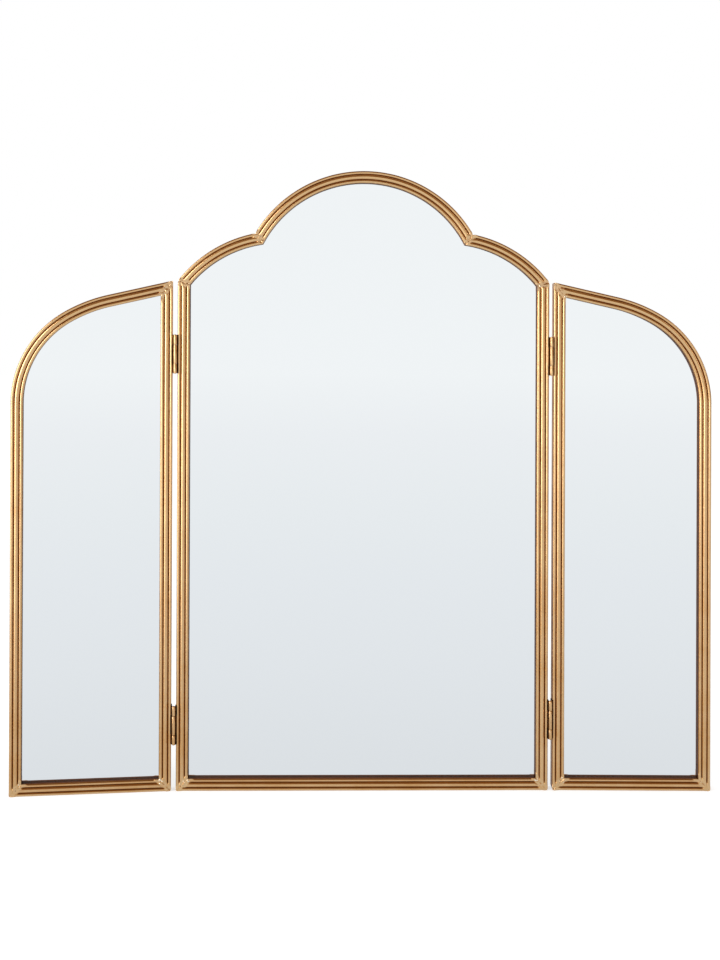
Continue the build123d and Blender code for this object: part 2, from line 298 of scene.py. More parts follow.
@dataclass(frozen=True)
class GoldPaint(Finish):
    """Satin gold paint: light crests, with painted shade that darkens the reeds' sides and grooves along
    with dark patina, fine grain and solder patches.

    Spans are ranges of darkening depth, which is 0 on a crest and above 1 in a groove; from 1.25 up it
    is painted shadow, near black, as in the gaps at the hinges and at the glass edge.
    """

    name: str = "gold_paint"
    crest: tuple = rgba(231, 183, 113)
    shaded_flank: tuple = rgba(202, 144, 74)
    wax_and_shade: tuple = rgba(88, 46, 17)
    black: tuple = rgba(26, 10, 4)
    solder: tuple = rgba(214, 168, 112)
    shaded_flank_span: tuple = (0.0, 0.45)
    wax_and_shade_span: tuple = (0.58, 1.05)
    black_span: tuple = (1.25, 1.6)
    metal_span: tuple = (0.58, 1.0)
    coat_span: tuple = (0.15, 0.45)
    rough_span: tuple = (0.1, 1.0)
    patch_sway: float = 0.45
    speck_sway: float = 0.25
    foot_shade: float = 0.20
    foot_shade_height: float = 0.5
    roughness: float = 0.27
    wax_and_shade_roughness: float = 0.49
    coat_roughness: float = 0.2
    coat_index: float = 2.1
    gloss_level: float = 0.06
    patch_cells: float = 30.0
    grain_cells: float = 1400.0
    speck_cells: float = 420.0
    pit_cells: float = 420.0
    pit_width: tuple = (0.30, 0.12)
    pit_speck: tuple = (0.56, 0.62)
    pit_weld: tuple = (0.15, 0.5)
    pit_drop: float = 3.0
    bare_span: tuple = (0.5, 1.0)
    weld_span: tuple = (0.3, 0.9)
    grain_sway: float = 0.12
    grain_strength: float = 0.30
    grain_depth: float = 0.00003

    def wax_and_shade_depth(self, recipe: Recipe, patch: Signal, speck: Signal) -> Signal:
        """How much painted shade and patina lies on a spot.

        Args:
            recipe: The recipe in hand.
            patch: Broad noise.
            speck: Fine noise.

        Returns:
            The depth, swayed by noise and deepened by painted shade towards the bottom.
        """
        height = recipe.axis(recipe.place(), "Z")
        # Painted shade: the gold darkens towards the bottom.
        low = recipe.spread(height, self.foot_shade_height, 0.0, 0.0, self.foot_shade)
        sway = (patch - 0.5) * self.patch_sway + (speck - 0.5) * self.speck_sway
        return recipe.attribute("recess") + sway + low

    def pits(self, recipe: Recipe, speck: Signal, weld: Signal) -> Signal:
        """Small pits in the solder patches.

        Args:
            recipe: The recipe in hand.
            speck: Fine noise, which thins the pits out.
            weld: Share of solder.

        Returns:
            One in a pit, else zero.
        """
        settings, inputs = {"feature": "F1"}, {"Vector": recipe.place(), "Scale": self.pit_cells}
        cell = recipe.node("ShaderNodeTexVoronoi", settings, inputs)
        pit = recipe.spread(cell, *self.pit_width) * recipe.spread(speck, *self.pit_speck)
        return (pit * recipe.spread(weld, *self.pit_weld)).clamped()

    def inputs(self, recipe: Recipe) -> dict:
        """Mix the paint.

        Args:
            recipe: The recipe in hand.

        Returns:
            Shader inputs by name.
        """
        where = recipe.place()
        weld = recipe.attribute("weld")
        patch = recipe.noise(where, self.patch_cells, 4.0, 0.6)
        grain = recipe.noise(where, self.grain_cells, 3.0, 0.65)
        speck = recipe.noise(where, self.speck_cells, 3.0, 0.6)
        depth = self.wax_and_shade_depth(recipe, patch, speck)
        pit = self.pits(recipe, speck, weld)
        # The crest keeps the paint's own colour. The darker side tone, the dark brown and the near black
        # are painted shade deepening into grooves and gaps, and the dark brown also stands for patina.
        colour = recipe.blend(recipe.spread(depth, *self.shaded_flank_span), self.crest, self.shaded_flank)
        colour = recipe.blend(recipe.spread(depth, *self.wax_and_shade_span), colour, self.wax_and_shade)
        colour = recipe.blend(recipe.spread(depth, *self.black_span), colour, self.black)
        bare = recipe.blend(recipe.spread(patch + speck * 0.5, *self.bare_span), self.crest, self.solder)
        colour = recipe.blend(recipe.spread(weld, *self.weld_span), colour, bare)
        rough = recipe.spread(depth, *self.rough_span, self.roughness, self.wax_and_shade_roughness)
        return {
            # Pits are painted the same dark brown: painted shade and patina in them.
            "Base Color": recipe.blend(pit, colour, self.wax_and_shade),
            "Metallic": recipe.spread(depth, *self.metal_span, 1.0, 0.0),
            "Specular IOR Level": self.gloss_level,
            "Roughness": rough + (grain - 0.5) * self.grain_sway,
            "Normal": recipe.relief(grain - pit * self.pit_drop, self.grain_strength, self.grain_depth),
            "Coat Weight": recipe.spread(depth, *self.coat_span, 1.0, 0.0),
            "Coat Roughness": self.coat_roughness,
            "Coat IOR": self.coat_index,
        }


@dataclass(frozen=True)
class BrightSolder(Finish):
    """Beads of solder, rubbed bright where they stand proud, with gold paint left in their hollows."""

    name: str = "bright_solder"
    bright: tuple = rgba(252, 238, 212)
    painted: tuple = rgba(206, 156, 98)
    mottle_cells: float = 620.0
    paint_span: tuple = (0.48, 0.62)
    rough_span: tuple = (0.4, 0.7)
    roughness: tuple = (0.14, 0.34)
    relief_strength: float = 0.3
    relief_depth: float = 0.0001

    def inputs(self, recipe: Recipe) -> dict:
        """Mix the solder.

        Args:
            recipe: The recipe in hand.

        Returns:
            Shader inputs by name.
        """
        mottle = recipe.noise(recipe.place(), self.mottle_cells, 3.0, 0.6)
        return {
            "Base Color": recipe.blend(recipe.spread(mottle, *self.paint_span), self.bright, self.painted),
            "Metallic": 1.0,
            "Roughness": recipe.spread(mottle, *self.rough_span, *self.roughness),
            "Normal": recipe.relief(mottle, self.relief_strength, self.relief_depth),
        }


@dataclass(frozen=True)
class MirrorSilver(Finish):
    """Silvered glass: a clean, slightly cool reflection with the faintest smears."""

    name: str = "mirror_silver"
    tint: tuple = rgba(252, 253, 254)
    clean: float = 0.005
    smeared: float = 0.020
    smear_cells: float = 9.0
    smear_stretch: tuple = (1.0, 1.0, 0.35)
    smear_span: tuple = (0.4, 0.75)

    def inputs(self, recipe: Recipe) -> dict:
        """Mix the silvering."""
        smear = recipe.noise(recipe.place(self.smear_stretch), self.smear_cells, 5.0, 0.6)
        rough = recipe.spread(smear, *self.smear_span, self.clean, self.smeared)
        return {"Base Color": self.tint, "Metallic": 1.0, "Roughness": rough}


@dataclass(frozen=True)
class FibreBoard(Finish):
    """Dark pressed board with short fibres."""

    name: str = "fibre_board"
    dark: tuple = rgba(70, 50, 36)
    pale: tuple = rgba(118, 90, 66)
    fibre_cells: float = 700.0
    cloud_cells: float = 12.0
    fibre_stretch: tuple = (1.0, 1.0, 0.25)
    fibre_span: tuple = (0.35, 0.7)
    fibre_share: float = 0.7
    roughness: float = 0.8
    relief_strength: float = 0.4
    relief_depth: float = 0.0001

    def inputs(self, recipe: Recipe) -> dict:
        """Mix the board.

        Args:
            recipe: The recipe in hand.

        Returns:
            Shader inputs by name.
        """
        fibre = recipe.noise(recipe.place(self.fibre_stretch), self.fibre_cells, 6.0, 0.7)
        cloud = recipe.noise(recipe.place(), self.cloud_cells, 3.0)
        share = recipe.spread(fibre, *self.fibre_span) * self.fibre_share + cloud * (1.0 - self.fibre_share)
        return {
            "Base Color": recipe.blend(share, self.dark, self.pale),
            "Roughness": self.roughness,
            "Normal": recipe.relief(fibre, self.relief_strength, self.relief_depth),
        }


@dataclass(frozen=True)
class BareSteel(Finish):
    """Plain cold-rolled strip steel with fine scratches."""

    name: str = "bare_steel"
    dull: tuple = rgba(120, 116, 110)
    bright: tuple = rgba(176, 172, 166)
    scratch_cells: float = 400.0
    scratch_stretch: tuple = (1.0, 1.0, 8.0)
    scratch_span: tuple = (0.3, 0.7)
    roughness: tuple = (0.28, 0.45)

    def inputs(self, recipe: Recipe) -> dict:
        """Mix the steel."""
        scratch = recipe.noise(recipe.place(self.scratch_stretch), self.scratch_cells, 3.0)
        rough = recipe.spread(scratch, *self.scratch_span, *self.roughness)
        colour = recipe.blend(scratch, self.dull, self.bright)
        return {"Base Color": colour, "Metallic": 1.0, "Roughness": rough}


@dataclass(frozen=True)
class Reeding:
    """Section of the moulding, from its outer edge inwards and from its front back."""

    face: float = 12.0 * MM
    bead: float = 3.2 * MM
    bead_back: float = 0.5 * MM
    groove: float = 0.4 * MM
    groove_depth: float = 2.1 * MM
    web: float = 1.0 * MM
    wall: float = 1.2 * MM
    glass_back: float = 8.5 * MM
    depth: float = 16.0 * MM
    reed_steps: int = 10

    def reed(self, start: float, width: float, back: float, rim: float) -> list[tuple]:
        """Points over one rounded reed.

        Args:
            start: Where its groove ends.
            width: Its width.
            back: How far its crest lies behind the front.
            rim: How much painted shade and patina its outer side takes; less leaves that side lighter.

        Returns:
            Tuples of place across, depth and darkening: painted shade along with patina.
        """
        points = []
        for step in range(self.reed_steps + 1):
            angle = math.pi * step / self.reed_steps
            fall = 1.0 - math.sin(angle)
            across = start + width / 2 * (1.0 - math.cos(angle))
            held = fall**1.8 * (rim if angle < math.pi / 2 else 1.0)
            points.append((across, back + (self.groove_depth - back) * fall, held))
        return points

    def outline(self) -> list[tuple]:
        """Draw the whole section.

        Returns:
            Tuples of place across, depth and darkening: painted shade along with patina.
        """
        band = self.bead + self.groove
        web_back = self.groove_depth + self.web
        points = self.reed(0.0, self.bead, self.bead_back, 0.35)
        points += self.reed(band, self.face - 2 * band, 0.0, 1.0)
        points += self.reed(self.face - self.bead, self.bead, self.bead_back, 1.0)
        # The inner side and the line at the glass edge are darkened as painted shade, near black at the
        # glass edge as painted shadow.
        points += [
            (self.face, self.groove_depth * 1.3, 0.95),
            (self.face, self.glass_back - 2.0 * MM, 1.10),
            (self.face, self.glass_back, 1.60),
            (self.face - self.wall, self.glass_back, 1.0),
            (self.face - self.wall, web_back, 0.8),
            (self.wall, web_back, 0.8),
            (self.wall, self.depth, 0.7),
            (0.0, self.depth, 0.6),
            (0.0, self.groove_depth * 1.5, 0.5),
        ]
        return points


@dataclass(frozen=True)
class Circle:
    """A circle in a panel's plane; leans are angles from upright, clockwise."""

    middle: Vector
    radius: float

    def at(self, lean: float) -> Vector:
        """Place on the circle at a lean."""
        return self.middle + self.radius * Vector((math.sin(lean), math.cos(lean)))

    def lean_of(self, place: Vector) -> float:
        """Lean of the radius to a place."""
        offset = place - self.middle
        return math.atan2(offset.x, offset.y)

    def inset(self, amount: float) -> "Circle":
        """The circle drawn in by an amount."""
        return Circle(self.middle, self.radius - amount)

    @classmethod
    def bulging(cls, start: Vector, end: Vector, bulge: float) -> "Circle":
        """Circle of a clockwise arc.

        Args:
            start: Where the arc starts.
            end: Where it ends.
            bulge: How far it stands out from the line between them.

        Returns:
            The circle.
        """
        half = (end - start).length / 2
        radius = (half**2 + bulge**2) / (2 * bulge)
        along = (end - start).normalized()
        return cls((start + end) / 2 - (radius - bulge) * Vector((-along.y, along.x)), radius)

    def meets(self, other: "Circle") -> Vector:
        """Crossing with another circle.

        Args:
            other: The other circle.

        Returns:
            The crossing that lies anticlockwise of the line to the other circle's middle.
        """
        apart = (other.middle - self.middle).length
        share = (self.radius**2 + apart**2 - other.radius**2) / (2 * self.radius * apart)
        return self.at(self.lean_of(other.middle) - math.acos(share))


@dataclass(frozen=True)
class Mitre:
    """A cut between an outer and an inner corner; what lies towards waste is taken off."""

    outer: Vector
    inner: Vector
    waste: Vector

    @classmethod
    def at(cls, corner: Callable[[float], Vector], waste: tuple) -> "Mitre":
        """The cut at a corner, which is given as a function of inset."""
        return cls(corner(0.0), corner(Reeding.face), Vector(waste))

    def normal(self) -> Vector:
        """Unit normal of the cut.

        Returns:
            The normal that points towards the waste.
        """
        along = self.inner - self.outer
        across = Vector((along.y, -along.x)).normalized()
        return across if across.dot(self.waste) > 0 else -across

    def flipped(self) -> "Mitre":
        """The same cut on the other side of the panel's middle."""
        turned = [Vector((-place.x, place.y)) for place in (self.outer, self.inner, self.waste)]
        return Mitre(*turned)


@dataclass(frozen=True)
class Straight:
    """A straight run of moulding."""

    length: float


@dataclass(frozen=True)
class Bend:
    """A bent run of moulding, clockwise round a circle between two leans."""

    circle: Circle
    first: float
    last: float


@dataclass
class Moulding:
    """One length of reeded moulding, drawn along its outer edge, cut at its mitres and soldered there."""

    name: str
    start: Vector
    heading: Vector
    runs: list[Straight | Bend]
    mitres: list[Mitre]
    reeding: Reeding = Reeding()
    overrun: float = 18.0 * MM
    fine_step: float = 0.8 * MM
    coarse_step: float = 9.0 * MM
    bend_step: float = 1.3 * MM
    weld_reach: float = 4.6 * MM
    weld_depth: float = 0.6 * MM
    weld_least: float = 0.12 * MM
    seam_reach: float = 0.25 * MM
    seam_level: float = 0.15
    seam_depth: float = 1.1 * MM
    lump_height: float = 0.55
    ripple_height: float = 0.25
    raggedness: float = 0.55
    weld_edge: float = 2.2
    darkening_filled: float = 0.85
    edge_grain: float = 2.2 * MM
    lump_grain: float = 3.1 * MM
    ripple_grain: float = 1.3 * MM
    seam_grain: float = 2.6 * MM
    corner_round: float = 2.6 * MM
    corner_pull: float = 0.8 * MM
    seed: float = 0.0

    def section(self, mesh: bmesh.types.BMesh) -> list:
        """Draw the section at the start.

        Args:
            mesh: The empty shape.

        Returns:
            The section's edges.
        """
        recess = mesh.verts.layers.float.new("recess")
        front = mesh.verts.layers.float.new("front")
        inwards = Vector((self.heading.y, -self.heading.x))
        origin = self.start - self.heading * self.overrun
        ring = []
        for across, depth, held in self.reeding.outline():
            place = origin + inwards * across
            vertex = mesh.verts.new((place.x, depth - self.reeding.depth / 2, place.y))
            vertex[recess] = held
            vertex[front] = 1.0 if depth <= self.reeding.groove_depth + 1e-7 else 0.0
            ring.append(vertex)
        return [mesh.edges.new((ring[index - 1], ring[index])) for index in range(len(ring))]

    @staticmethod
    def drawn(mesh: bmesh.types.BMesh, edges: list, move: Vector) -> list:
        """Extrude the section by one step.

        Args:
            mesh: The shape.
            edges: The section's edges at its end.
            move: The step.

        Returns:
            The section's edges at the new end.
        """
        made = bmesh.ops.extrude_edge_only(mesh, edges=edges)["geom"]
        corners = [item for item in made if isinstance(item, bmesh.types.BMVert)]
        bmesh.ops.translate(mesh, vec=move, verts=corners)
        new = set(corners)
        return [item for item in made if isinstance(item, bmesh.types.BMEdge) and set(item.verts) <= new]

    def straight(self, mesh: bmesh.types.BMesh, edges: list, heading: Vector, length: float) -> list:
        """Draw a straight run, in fine steps near its ends and coarse ones between.

        Args:
            mesh: The shape.
            edges: The section's edges at its end.
            heading: The run's direction.
            length: The run's length.

        Returns:
            The section's edges at the new end.
        """
        fine = min(self.overrun * 1.8, length / 2)
        fine_count = max(1, round(fine / self.fine_step))
        middle = length - 2 * fine
        middle_count = max(1, round(middle / self.coarse_step)) if middle > 1e-6 else 0
        ends = [fine / fine_count] * fine_count
        steps = ends + [middle / max(1, middle_count)] * middle_count + ends
        for step in steps:
            edges = self.drawn(mesh, edges, Vector((heading.x, 0.0, heading.y)) * step)
        return edges

    def bend(self, mesh: bmesh.types.BMesh, edges: list, run: Bend) -> list:
        """Spin a bent run round its circle.

        Args:
            mesh: The shape.
            edges: The section's edges at its end.
            run: The bend.

        Returns:
            The section's edges at the new end.
        """
        corners = list({vertex for edge in edges for vertex in edge.verts})
        angle = run.last - run.first
        made = bmesh.ops.spin(
            mesh,
            geom=corners + edges,
            cent=(run.circle.middle.x, 0.0, run.circle.middle.y),
            axis=(0.0, 1.0, 0.0),
            angle=angle,
            steps=max(2, round(angle * run.circle.radius / self.bend_step)),
            use_merge=False,
        )["geom_last"]
        return [item for item in made if isinstance(item, bmesh.types.BMEdge)]

    def cut(self, mesh: bmesh.types.BMesh) -> None:
        """Take the waste off at every mitre and close the cuts.

        Args:
            mesh: The shape.
        """
        reach = self.overrun * 2.4
        for mitre in self.mitres:
            corner = Vector((mitre.outer.x, mitre.outer.y))
            near = {
                vertex for vertex in mesh.verts
                if math.hypot(vertex.co.x - corner.x, vertex.co.z - corner.y) < reach
            }
            edges = [edge for edge in mesh.edges if near.issuperset(edge.verts)]
            faces = [face for face in mesh.faces if near.issuperset(face.verts)]
            normal = mitre.normal()
            bmesh.ops.bisect_plane(
                mesh,
                geom=list(near) + edges + faces,
                dist=1e-7,
                plane_co=(corner.x, 0.0, corner.y),
                plane_no=(normal.x, 0.0, normal.y),
                clear_outer=True,
            )
        bmesh.ops.edgeloop_fill(mesh, edges=[edge for edge in mesh.edges if edge.is_boundary])

    def solder_level(self, spot: Vector, away: float) -> float:
        """Surface of the solder at one spot.

        Args:
            spot: The spot, with the length's seed as its third number.
            away: Its distance from the mitre.

        Returns:
            How far the surface lies behind the frame's front.
        """
        lump = noise.noise(spot / self.lump_grain) * self.lump_height
        lump += noise.noise(spot / self.ripple_grain) * self.ripple_height
        level = max(self.weld_least, self.weld_depth + lump * MM)
        if away < self.seam_reach:
            level += max(0.0, self.seam_level + noise.noise(spot / self.seam_grain)) * self.seam_depth
        return level

    def solder(self, mesh: bmesh.types.BMesh) -> None:
        """Flood the reeds near each mitre with a lumpy patch and round the outer corner.

        Args:
            mesh: The shape.
        """
        recess = mesh.verts.layers.float["recess"]
        front = mesh.verts.layers.float["front"]
        weld = mesh.verts.layers.float.new("weld")
        face = -self.reeding.depth / 2
        for mitre in self.mitres:
            normal = mitre.normal()
            inwards = (mitre.inner - mitre.outer).normalized()
            for vertex in mesh.verts:
                flat = Vector((vertex.co.x, vertex.co.z))
                offset = flat - mitre.outer
                away = abs(offset.dot(normal))
                if away > self.weld_reach * 1.8 or offset.length > self.overrun * 1.6:
                    continue
                spot = Vector((flat.x, flat.y, self.seed))
                ragged = noise.noise(spot / self.edge_grain)
                share = 1.0 - away / (self.weld_reach * (1.0 + self.raggedness * ragged))
                if share > 0.0 and vertex[front] > 0.5:
                    share = min(1.0, share * self.weld_edge)
                    share = share * share * (3.0 - 2.0 * share)
                    depth = vertex.co.y - face
                    vertex.co.y = face + depth + (self.solder_level(spot, away) - depth) * share
                    # Solder fills the grooves, so their painted shade and patina fade.
                    vertex[recess] *= 1.0 - self.darkening_filled * share
                    vertex[weld] = share
                near = 1.0 - offset.length / self.corner_round
                if near > 0.0:
                    shift = inwards * near * near * self.corner_pull
                    vertex.co.x += shift.x
                    vertex.co.z += shift.y

    def build(self, turn: Matrix) -> bpy.types.Object:
        """Make the length.

        Args:
            turn: Takes the panel's own frame to the part's.

        Returns:
            The new object.
        """
        mesh = bmesh.new()
        edges = self.section(mesh)
        heading = self.heading
        edges = self.straight(mesh, edges, heading, self.overrun)
        for run in self.runs:
            if isinstance(run, Straight):
                edges = self.straight(mesh, edges, heading, run.length)
            else:
                edges = self.bend(mesh, edges, run)
                heading = Vector((math.cos(run.last), -math.sin(run.last)))
        self.straight(mesh, edges, heading, self.overrun)
        self.cut(mesh)
        self.solder(mesh)
        return finished(self.name, mesh, turn)


def finished(name: str, mesh: bmesh.types.BMesh, turn: Matrix, sharp: float = 48.0) -> bpy.types.Object:
    """Turn a bmesh into an object of the scene.

    Args:
        name: The object's name.
        mesh: The shape, used up by the call.
        turn: Takes the shape's frame to the part's.
        sharp: Edges that turn by more than this many degrees stay crisp.

    Returns:
        The new object, at the origin.
    """
    bmesh.ops.transform(mesh, matrix=turn, verts=mesh.verts[:])
    bmesh.ops.recalc_face_normals(mesh, faces=mesh.faces[:])
    for face in mesh.faces:
        face.smooth = True
    for edge in mesh.edges:
        edge.smooth = not edge.is_manifold or edge.calc_face_angle() < math.radians(sharp)
    data = bpy.data.meshes.new(name)
    mesh.to_mesh(data)
    mesh.free()
    made = bpy.data.objects.new(name, data)
    bpy.context.scene.collection.objects.link(made)
    return made


def hung(piece: bpy.types.Object, node: str, body: str, slot: str) -> bpy.types.Object:
    """Hang a piece on a body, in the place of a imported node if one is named.

    Args:
        piece: The new piece.
        node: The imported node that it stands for, or nothing.
        body: The body that it rides on.
        slot: The record's slot that it takes its finish from.

    Returns:
        The same piece.
    """
    if node:
        piece.name = f"{node}_look"
        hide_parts(node)
    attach(piece, body)
    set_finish(piece, slot)
    return piece


@dataclass
class SolderDrops:
    """Small bright beads of solder left on the corners of one frame."""

    name: str
    mitres: list[Mitre]
    counts: list[int]
    seed: int
    depth: float = 16.0 * MM
    raised: float = 0.85
    sunk: tuple = (0.1, 0.5)
    stretch: tuple = (0.8, 1.4)
    flatness: float = 0.8
    swell: float = 0.18
    swell_most: float = 1.08
    swell_grain: float = 0.9 * MM
    outwards: tuple = (0.4, 4.6)
    sideways: tuple = (-2.2, 2.2)
    radius: tuple = (0.7, 1.4)

    def bead(self, mesh: bmesh.types.BMesh, chance: random.Random, place: Vector, size: float) -> None:
        """One uneven bead, sunk into the face.

        Args:
            mesh: The shape that it joins.
            chance: Source of its unevenness.
            place: Its place in the panel's plane.
            size: Its radius.
        """
        weld = mesh.verts.layers.float["weld"]
        back = size * self.raised + chance.uniform(*self.sunk) * MM - self.depth / 2
        middle = Vector((place.x, back, place.y))
        wide, high = chance.uniform(*self.stretch), chance.uniform(*self.stretch)
        shape = Matrix.Diagonal((wide, self.flatness, high, 1.0))
        matrix = Matrix.Translation(middle) @ shape
        made = bmesh.ops.create_icosphere(mesh, subdivisions=3, radius=size, matrix=matrix)["verts"]
        for vertex in made:
            swell = 1.0 + self.swell * noise.noise(vertex.co / self.swell_grain)
            vertex.co = middle + (vertex.co - middle) * min(swell, self.swell_most)
            vertex[weld] = 1.0

    def build(self, turn: Matrix) -> bpy.types.Object:
        """Make every bead of one panel as one mesh.

        Args:
            turn: Takes the panel's own frame to the part's.

        Returns:
            The new object.
        """
        chance = random.Random(self.seed)
        mesh = bmesh.new()
        mesh.verts.layers.float.new("weld")
        for mitre, count in zip(self.mitres, self.counts):
            outwards = (mitre.outer - mitre.inner).normalized()
            across = Vector((outwards.y, -outwards.x))
            for _ in range(count):
                place = mitre.inner + outwards * chance.uniform(*self.outwards) * MM
                place = place + across * chance.uniform(*self.sideways) * MM
                self.bead(mesh, chance, place, chance.uniform(*self.radius) * MM)
        return finished(self.name, mesh, turn, 180.0)


@dataclass
class ButtHinge:
    """One small butt hinge: two leaves in the gap, three knuckles and their straps."""

    gap: float = 4.4 * MM
    length: float = 38.5 * MM
    middle: float = 18.6 * MM
    knuckle: float = 1.6 * MM
    split: float = 0.25 * MM
    leaf: float = 0.9 * MM
    leaf_depth: float = 10.0 * MM
    leaf_bevel: float = 0.12 * MM
    strap_front: float = 0.3 * MM
    strap_overlap: float = 0.4 * MM
    swing: float = 0.3 * MM
    bore: float = 0.95 * MM
    edge: float = 0.22 * MM
    knuckle_sides: int = 40
    # Painted shade: near black on the plates in the gap, dark at the knuckles' ends and bore, darker behind
    # the knuckle.
    shade_in_gap: float = 1.45
    shade_at_ends: float = 1.0
    shade_behind: float = 0.75

    def barrel(self, mesh: bmesh.types.BMesh, low: float, high: float) -> None:
        """Spin one knuckle, with worn ends.

        Args:
            mesh: The shape that it joins.
            low: Height of its lower end.
            high: Height of its upper end.
        """
        outer, inner, worn = self.knuckle, self.bore, self.edge
        outline = [
            (inner, low), (outer - worn, low), (outer - worn * 0.3, low + worn * 0.3), (outer, low + worn),
            (outer, high - worn), (outer - worn * 0.3, high - worn * 0.3), (outer - worn, high),
            (inner, high),
        ]
        ring = [mesh.verts.new((across, 0.0, height)) for across, height in outline]
        edges = [mesh.edges.new((ring[index - 1], ring[index])) for index in range(len(ring))]
        bmesh.ops.spin(
            mesh,
            geom=ring + edges,
            cent=(0.0, 0.0, 0.0),
            axis=(0.0, 0.0, 1.0),
            angle=math.tau,
            steps=self.knuckle_sides,
            use_merge=True,
        )

    def plate(self, mesh: bmesh.types.BMesh, front: float, back: float, low: float, high: float) -> None:
        """One flat part of a leaf, with eased edges.

        Args:
            mesh: The shape that it joins.
            front: Depth of its front behind the pin.
            back: Depth of its back behind the pin.
            low: Height of its lower end.
            high: Height of its upper end.
        """
        size = Matrix.Diagonal((self.leaf, back - front, high - low, 1.0))
        middle = ((self.gap - self.leaf) / 2, (front + back) / 2, (low + high) / 2)
        made = bmesh.ops.create_cube(mesh, size=1.0, matrix=Matrix.Translation(middle) @ size)["verts"]
        edges = list({edge for vertex in made for edge in vertex.link_edges})
        bmesh.ops.bevel(
            mesh, geom=edges, offset=self.leaf_bevel, segments=2, profile=0.5, affect="EDGES", material=-1
        )

    def painted_shade_at(self, place: Vector, spans: list[tuple]) -> float:
        """How much painted shade a spot of a leaf takes.

        Args:
            place: The spot.
            spans: Lower and upper end of each knuckle.

        Returns:
            The amount, from 0 on a bright knuckle to painted shadow, nearly black, on the plates in the
            gap.
        """
        radius = math.hypot(place.x, place.y)
        end = min(abs(place.z - height) for span in spans for height in span)
        if radius > self.knuckle * 1.02:
            return self.shade_in_gap
        if radius < self.knuckle - self.edge * 0.5 or end < self.edge * 0.5:
            return self.shade_at_ends
        return self.shade_behind if place.y > self.knuckle * 0.6 else 0.0

    def leaf_with(self, name: str, spans: list[tuple], turn: Matrix) -> bpy.types.Object:
        """A leaf and its knuckles.

        Args:
            name: The object's name.
            spans: Lower and upper end of each knuckle.
            turn: Takes the hinge's own frame to the part's.

        Returns:
            The new object.
        """
        mesh = bmesh.new()
        front = self.knuckle + self.swing
        self.plate(mesh, front, front + self.leaf_depth, -self.length / 2, self.length / 2)
        for low, high in spans:
            self.barrel(mesh, low, high)
            self.plate(mesh, self.strap_front, front + self.strap_overlap, low, high)
        recess = mesh.verts.layers.float.new("recess")
        for vertex in mesh.verts:
            vertex[recess] = self.painted_shade_at(vertex.co, spans)
        return finished(name, mesh, turn, 50.0)

    def frame_spans(self) -> list[tuple]:
        """Heights of the two end knuckles."""
        inner = self.middle / 2 + self.split
        return [(-self.length / 2, -inner), (inner, self.length / 2)]

    def wing_spans(self) -> list[tuple]:
        """Heights of the middle knuckle."""
        return [(-self.middle / 2, self.middle / 2)]


@dataclass
class CentreFrame:
    """The arched frame of the centre panel, worked out on the right and turned over for the left."""

    width: float = 373.0 * MM
    stile: float = 510.6 * MM
    shoulder_rise: float = 47.8 * MM
    shoulder_bulge: float = 8.3 * MM
    arch_span: float = 218.8 * MM
    arch_rise: float = 63.0 * MM

    def __post_init__(self) -> None:
        """Work out the circles."""
        cusp = Vector((self.arch_span / 2, self.stile + self.shoulder_rise))
        self.arch = Circle.bulging(Vector((-cusp.x, cusp.y)), cusp, self.arch_rise)
        self.shoulder = Circle.bulging(cusp, Vector((self.width / 2, self.stile)), self.shoulder_bulge)

    def cusp(self, inset: float) -> Vector:
        """Right-hand cusp, drawn in by an inset."""
        return self.arch.inset(inset).meets(self.shoulder.inset(inset))

    def corner(self, inset: float) -> Vector:
        """Right-hand corner between shoulder and stile.

        Args:
            inset: How far it is drawn in from the frame's outer edge.

        Returns:
            Its place.
        """
        across = self.width / 2 - inset
        radius = self.shoulder.radius - inset
        climb = math.sqrt(radius**2 - (across - self.shoulder.middle.x) ** 2)
        return Vector((across, self.shoulder.middle.y + climb))

    def foot(self, inset: float) -> Vector:
        """Right-hand foot, drawn in by an inset."""
        return Vector((self.width / 2 - inset, inset))

    def lengths(self) -> list[Moulding]:
        """Every length of the frame that differs.

        Returns:
            The rail, the arch, and the right-hand stile and shoulder.
        """
        foot, corner, cusp = self.foot(0.0), self.corner(0.0), self.cusp(0.0)
        first, last = self.shoulder.lean_of(cusp), self.shoulder.lean_of(corner)
        reach = self.arch.lean_of(cusp)
        heading = Vector((math.cos(first), -math.sin(first)))
        arch_heading = Vector((math.cos(reach), math.sin(reach)))
        rail_cut = Mitre.at(self.foot, (1.0, 1.0))
        arch_cut = Mitre.at(self.cusp, (1.0, -1.0))
        return [
            Moulding("bottom_rail", foot, Vector((-1.0, 0.0)), [Straight(self.width)],
                     [rail_cut, rail_cut.flipped()]),
            Moulding("arch", Vector((-cusp.x, cusp.y)), arch_heading, [Bend(self.arch, -reach, reach)],
                     [arch_cut, arch_cut.flipped()]),
            Moulding("stile", corner, Vector((0.0, -1.0)), [Straight(corner.y)],
                     [Mitre.at(self.corner, (0.0, 1.0)), Mitre.at(self.foot, (-1.0, -1.0))]),
            Moulding("shoulder", cusp, heading, [Bend(self.shoulder, first, last)],
                     [Mitre.at(self.cusp, (-1.0, 0.0)), Mitre.at(self.corner, (1.0, -1.0))]),
        ]

    def build(self) -> list[bpy.types.Object]:
        """Make the frame's pieces and hang them on the centre panel.

        Returns:
            The pieces.
        """
        made = []
        for length in self.lengths():
            paired = length.name in ("stile", "shoulder")
            for side in (Side.RIGHT, Side.LEFT) if paired else (None,):
                node = f"centre_{side.value}_{length.name}" if side else f"centre_{length.name}"
                turn = TURNED_OVER if side is Side.LEFT else SAME_PLACE
                length.seed = 0.3 if side is Side.LEFT else 0.1
                made.append(hung(length.build(turn), node, "centre_panel", "gold_moulding"))
        mitres = [Mitre.at(self.foot, (1.0, 1.0)), Mitre.at(self.corner, (0.0, 1.0))]
        mitres += [mitre.flipped() for mitre in mitres]
        drops = SolderDrops("centre_solder", mitres, [5, 1, 6, 1], 11).build(SAME_PLACE)
        made.append(hung(drops, "", "centre_panel", "gold_moulding"))
        return made


